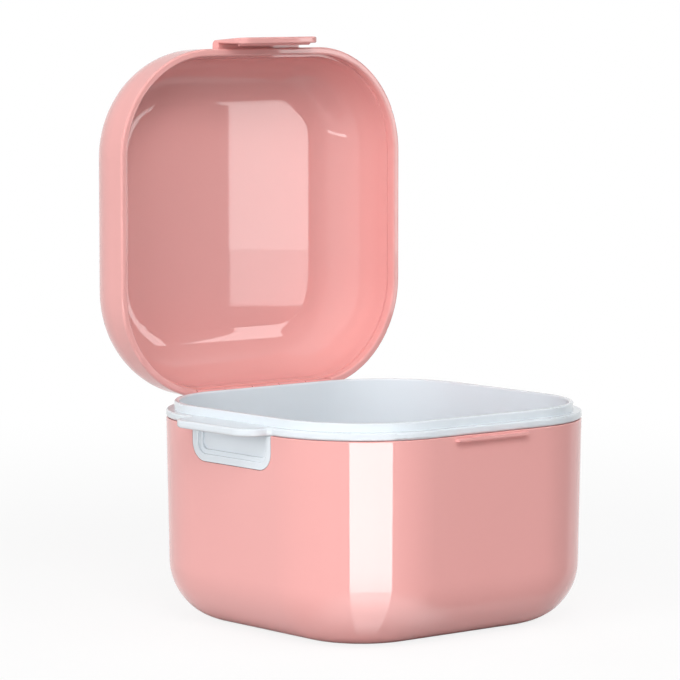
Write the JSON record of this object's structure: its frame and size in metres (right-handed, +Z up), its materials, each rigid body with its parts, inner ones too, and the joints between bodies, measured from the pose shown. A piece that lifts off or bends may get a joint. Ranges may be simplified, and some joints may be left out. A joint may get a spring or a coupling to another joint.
{
  "type": "denture case",
  "caption": "Rounded square denture soaking case: outer cup, lift-out drain basket with side grips, and a domed snap lid on a rear pin hinge, standing open.",
  "frame": {"origin": "centre of the cup's flat base, on the surface it stands on", "axes": "+Z up; the latch is on the -Y side, the hinge on the +Y side; the basket's two grips are on -X and +X"},
  "size_m": [0.1048, 0.1082, 0.144],
  "materials": {
    "pink_plastic": "high gloss moulded",
    "white_plastic": "gloss moulded",
    "pin_steel": "drawn wire"
  },
  "bodies": {
    "cup": {"outer_cup": "pink_plastic", "hinge_pin": "pin_steel"},
    "basket": {"basket": "white_plastic"},
    "lid": {"lid": "pink_plastic"}
  },
  "joints": [
    {"name": "lid_hinge", "type": "hinge", "parent": "cup", "child": "lid", "pos_m": [0, 0.04363, 0.05326], "axis": [1, 0, 0], "range_deg": [0, 90]},
    {"name": "basket_lift", "type": "slide", "parent": "cup", "child": "basket", "axis": [0, 0, 1], "range_m": [0, 0.075]}
  ]
}
